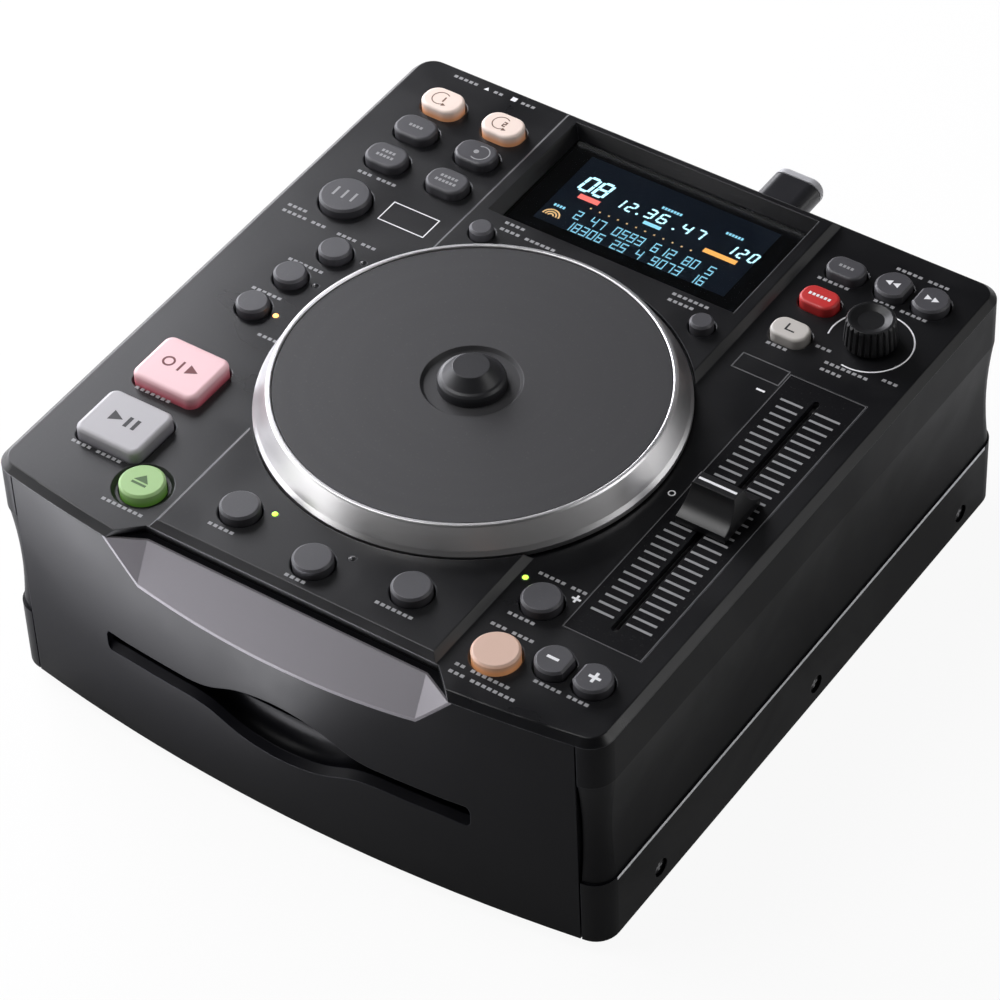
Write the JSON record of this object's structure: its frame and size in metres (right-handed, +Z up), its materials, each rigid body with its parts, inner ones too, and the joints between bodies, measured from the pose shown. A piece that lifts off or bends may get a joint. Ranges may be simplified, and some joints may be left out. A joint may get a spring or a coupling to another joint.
{
  "type": "tabletop disc player",
  "caption": "Tabletop DJ disc player: slot loader in a bowed front, touch keys, jog wheel, long pitch fader, display and knob on a raised deck.",
  "frame": {"origin": "on the surface that the feet stand on, under the middle of the whole, with the memory stick in its port", "axes": "+X to the user's right, -Y the bowed front with the disc slot, +Z up"},
  "size_m": [0.218, 0.255, 0.1076],
  "materials": {
    "deck_black": "satin black moulded deck",
    "case_black": "semi-gloss black moulded case",
    "rear_black": "black powder coat",
    "base_steel": "black coated sheet steel",
    "plate_silver": "brushed silver anodised sheet",
    "foot_rubber": "black rubber",
    "screw_black": "blackened steel screws",
    "lens_smoke": "smoked clear acrylic",
    "display_glass": "dark display glass",
    "ring_aluminium": "satin turned aluminium",
    "disc_grey": "dark grey satin anodised disc",
    "cap_grey": "grey satin cap",
    "shaft_steel": "turned steel",
    "bearing_brass": "sintered brass",
    "fader_texture": "black textured plate",
    "track_steel": "plated steel",
    "fader_black": "black soft-touch cap",
    "knob_black": "black fluted knob",
    "board_green": "green circuit board",
    "indicator_clear": "milky light pipes",
    "loader_steel": "zinc-plated sheet",
    "roller_rubber": "grey rubber",
    "mechanism_black": "black moulded mechanism part",
    "inlet_black": "black moulded inlet",
    "connector_nickel": "nickel-plated shells",
    "stick_silver": "silver anodised shell",
    "key_grey": "dark grey key",
    "key_lit": "translucent key lit from below",
    "key_pink": "translucent pink key",
    "key_white": "translucent white key",
    "key_green": "translucent green key",
    "key_red": "red key",
    "key_cream": "cream key"
  },
  "bodies": {
    "case": {"top_cover": "deck_black", "front_panel": "case_black", "side_panel_left": "case_black", "side_panel_right": "case_black", "rear_panel": "rear_black", "bottom_plate": "base_steel", "name_plate": "plate_silver", "feet": "foot_rubber", "case_screws": "screw_black", "display_lens": "lens_smoke", "display_module": "display_glass", "fader_plate": "fader_texture", "fader_track": "track_steel", "jog_bearing": "bearing_brass", "knob_encoder": "track_steel", "key_board": "board_green", "main_board": "board_green", "indicator_lenses": "indicator_clear", "loader_frame": "loader_steel", "ac_inlet": "inlet_black", "rear_connectors": "connector_nickel"},
    "jog_wheel": {"jog_ring": "ring_aluminium", "jog_disc": "disc_grey", "jog_cap": "cap_grey", "jog_shaft": "shaft_steel"},
    "pitch_fader": {"fader_cap": "fader_black"},
    "knob_spindle": {"knob_shaft": "shaft_steel"},
    "parameter_knob": {"parameter_knob": "knob_black"},
    "feed_roller": {"feed_roller": "roller_rubber"},
    "spindle_hub": {"spindle_hub": "mechanism_black"},
    "pickup_sled": {"pickup_sled": "mechanism_black"},
    "usb_stick": {"usb_stick": "stick_silver"},
    "power_key": {"power_key": "mechanism_black"},
    "loop_in_a1_key": {"loop_in_a1_key": "key_lit"},
    "loop_in_a2_key": {"loop_in_a2_key": "key_lit"},
    "flip_key": {"flip_key": "key_grey"},
    "loop_out_key": {"loop_out_key": "key_grey"},
    "next_track_key": {"next_track_key": "key_grey"},
    "loop_exit_key": {"loop_exit_key": "key_grey"},
    "tap_key": {"tap_key": "key_grey"},
    "echo_key": {"echo_key": "key_grey"},
    "flanger_key": {"flanger_key": "key_grey"},
    "filter_key": {"filter_key": "key_grey"},
    "cue_key": {"cue_key": "key_pink"},
    "play_pause_key": {"play_pause_key": "key_white"},
    "eject_key": {"eject_key": "key_green"},
    "time_key": {"time_key": "key_grey"},
    "title_key": {"title_key": "key_grey"},
    "brake_key": {"brake_key": "key_grey"},
    "dump_key": {"dump_key": "key_grey"},
    "reverse_key": {"reverse_key": "key_grey"},
    "memo_key": {"memo_key": "key_grey"},
    "source_key": {"source_key": "key_red"},
    "back_key": {"back_key": "key_cream"},
    "search_back_key": {"search_back_key": "key_grey"},
    "search_forward_key": {"search_forward_key": "key_grey"},
    "pitch_key": {"pitch_key": "key_grey"},
    "jog_mode_key": {"jog_mode_key": "key_lit"},
    "bend_minus_key": {"bend_minus_key": "key_grey"},
    "bend_plus_key": {"bend_plus_key": "key_grey"}
  },
  "joints": [
    {"name": "jog_turn", "type": "hinge", "parent": "case", "child": "jog_wheel", "pos_m": [0, -0.0225, 0.091], "axis": [0, 0, 1], "continuous": true},
    {"name": "fader_slide", "type": "slide", "parent": "case", "child": "pitch_fader", "axis": [0, 1, 0], "range_m": [-0.05, 0.05]},
    {"name": "knob_push", "type": "slide", "parent": "case", "child": "knob_spindle", "axis": [0, 0, -1], "range_m": [0, 0.0008], "stiffness_N_per_m": 900, "springref_m": -0.0006},
    {"name": "knob_turn", "type": "hinge", "parent": "knob_spindle", "child": "parameter_knob", "pos_m": [0.0864, 0.065, 0.091], "axis": [0, 0, 1], "continuous": true},
    {"name": "roller_turn", "type": "hinge", "parent": "case", "child": "feed_roller", "pos_m": [0, -0.1095, 0.0352], "axis": [1, 0, 0], "continuous": true},
    {"name": "hub_turn", "type": "hinge", "parent": "case", "child": "spindle_hub", "pos_m": [0, -0.0545, 0.03], "axis": [0, 0, 1], "continuous": true},
    {"name": "sled_slide", "type": "slide", "parent": "case", "child": "pickup_sled", "axis": [0, 1, 0], "range_m": [0, 0.036]},
    {"name": "usb_pull", "type": "slide", "parent": "case", "child": "usb_stick", "axis": [0, 1, 0], "range_m": [0, 0.011]},
    {"name": "power_press", "type": "slide", "parent": "case", "child": "power_key", "axis": [0, -1, 0], "range_m": [0, 0.003], "stiffness_N_per_m": 500, "springref_m": -0.001},
    {"name": "loop_in_a1_press", "type": "slide", "parent": "case", "child": "loop_in_a1_key", "axis": [0, 0, -1], "range_m": [0, 0.0008], "stiffness_N_per_m": 700, "springref_m": -0.0005},
    {"name": "loop_in_a2_press", "type": "slide", "parent": "case", "child": "loop_in_a2_key", "axis": [0, 0, -1], "range_m": [0, 0.0008], "stiffness_N_per_m": 700, "springref_m": -0.0005},
    {"name": "flip_press", "type": "slide", "parent": "case", "child": "flip_key", "axis": [0, 0, -1], "range_m": [0, 0.0008], "stiffness_N_per_m": 700, "springref_m": -0.0005},
    {"name": "loop_out_press", "type": "slide", "parent": "case", "child": "loop_out_key", "axis": [0, 0, -1], "range_m": [0, 0.0008], "stiffness_N_per_m": 700, "springref_m": -0.0005},
    {"name": "next_track_press", "type": "slide", "parent": "case", "child": "next_track_key", "axis": [0, 0, -1], "range_m": [0, 0.0008], "stiffness_N_per_m": 700, "springref_m": -0.0005},
    {"name": "loop_exit_press", "type": "slide", "parent": "case", "child": "loop_exit_key", "axis": [0, 0, -1], "range_m": [0, 0.0008], "stiffness_N_per_m": 700, "springref_m": -0.0005},
    {"name": "tap_press", "type": "slide", "parent": "case", "child": "tap_key", "axis": [0, 0, -1], "range_m": [0, 0.0008], "stiffness_N_per_m": 700, "springref_m": -0.0005},
    {"name": "echo_press", "type": "slide", "parent": "case", "child": "echo_key", "axis": [0, 0, -1], "range_m": [0, 0.0008], "stiffness_N_per_m": 700, "springref_m": -0.0005},
    {"name": "flanger_press", "type": "slide", "parent": "case", "child": "flanger_key", "axis": [0, 0, -1], "range_m": [0, 0.0008], "stiffness_N_per_m": 700, "springref_m": -0.0005},
    {"name": "filter_press", "type": "slide", "parent": "case", "child": "filter_key", "axis": [0, 0, -1], "range_m": [0, 0.0008], "stiffness_N_per_m": 700, "springref_m": -0.0005},
    {"name": "cue_press", "type": "slide", "parent": "case", "child": "cue_key", "axis": [0, 0, -1], "range_m": [0, 0.0008], "stiffness_N_per_m": 700, "springref_m": -0.0005},
    {"name": "play_pause_press", "type": "slide", "parent": "case", "child": "play_pause_key", "axis": [0, 0, -1], "range_m": [0, 0.0008], "stiffness_N_per_m": 700, "springref_m": -0.0005},
    {"name": "eject_press", "type": "slide", "parent": "case", "child": "eject_key", "axis": [0, 0, -1], "range_m": [0, 0.0008], "stiffness_N_per_m": 700, "springref_m": -0.0005},
    {"name": "time_press", "type": "slide", "parent": "case", "child": "time_key", "axis": [0, 0, -1], "range_m": [0, 0.0008], "stiffness_N_per_m": 700, "springref_m": -0.0005},
    {"name": "title_press", "type": "slide", "parent": "case", "child": "title_key", "axis": [0, 0, -1], "range_m": [0, 0.0008], "stiffness_N_per_m": 700, "springref_m": -0.0005},
    {"name": "brake_press", "type": "slide", "parent": "case", "child": "brake_key", "axis": [0, 0, -1], "range_m": [0, 0.0008], "stiffness_N_per_m": 700, "springref_m": -0.0005},
    {"name": "dump_press", "type": "slide", "parent": "case", "child": "dump_key", "axis": [0, 0, -1], "range_m": [0, 0.0008], "stiffness_N_per_m": 700, "springref_m": -0.0005},
    {"name": "reverse_press", "type": "slide", "parent": "case", "child": "reverse_key", "axis": [0, 0, -1], "range_m": [0, 0.0008], "stiffness_N_per_m": 700, "springref_m": -0.0005},
    {"name": "memo_press", "type": "slide", "parent": "case", "child": "memo_key", "axis": [0, 0, -1], "range_m": [0, 0.0008], "stiffness_N_per_m": 700, "springref_m": -0.0005},
    {"name": "source_press", "type": "slide", "parent": "case", "child": "source_key", "axis": [0, 0, -1], "range_m": [0, 0.0008], "stiffness_N_per_m": 700, "springref_m": -0.0005},
    {"name": "back_press", "type": "slide", "parent": "case", "child": "back_key", "axis": [0, 0, -1], "range_m": [0, 0.0008], "stiffness_N_per_m": 700, "springref_m": -0.0005},
    {"name": "search_back_press", "type": "slide", "parent": "case", "child": "search_back_key", "axis": [0, 0, -1], "range_m": [0, 0.0008], "stiffness_N_per_m": 700, "springref_m": -0.0005},
    {"name": "search_forward_press", "type": "slide", "parent": "case", "child": "search_forward_key", "axis": [0, 0, -1], "range_m": [0, 0.0008], "stiffness_N_per_m": 700, "springref_m": -0.0005},
    {"name": "pitch_press", "type": "slide", "parent": "case", "child": "pitch_key", "axis": [0, 0, -1], "range_m": [0, 0.0008], "stiffness_N_per_m": 700, "springref_m": -0.0005},
    {"name": "jog_mode_press", "type": "slide", "parent": "case", "child": "jog_mode_key", "axis": [0, 0, -1], "range_m": [0, 0.0008], "stiffness_N_per_m": 700, "springref_m": -0.0005},
    {"name": "bend_minus_press", "type": "slide", "parent": "case", "child": "bend_minus_key", "axis": [0, 0, -1], "range_m": [0, 0.0008], "stiffness_N_per_m": 700, "springref_m": -0.0005},
    {"name": "bend_plus_press", "type": "slide", "parent": "case", "child": "bend_plus_key", "axis": [0, 0, -1], "range_m": [0, 0.0008], "stiffness_N_per_m": 700, "springref_m": -0.0005}
  ]
}
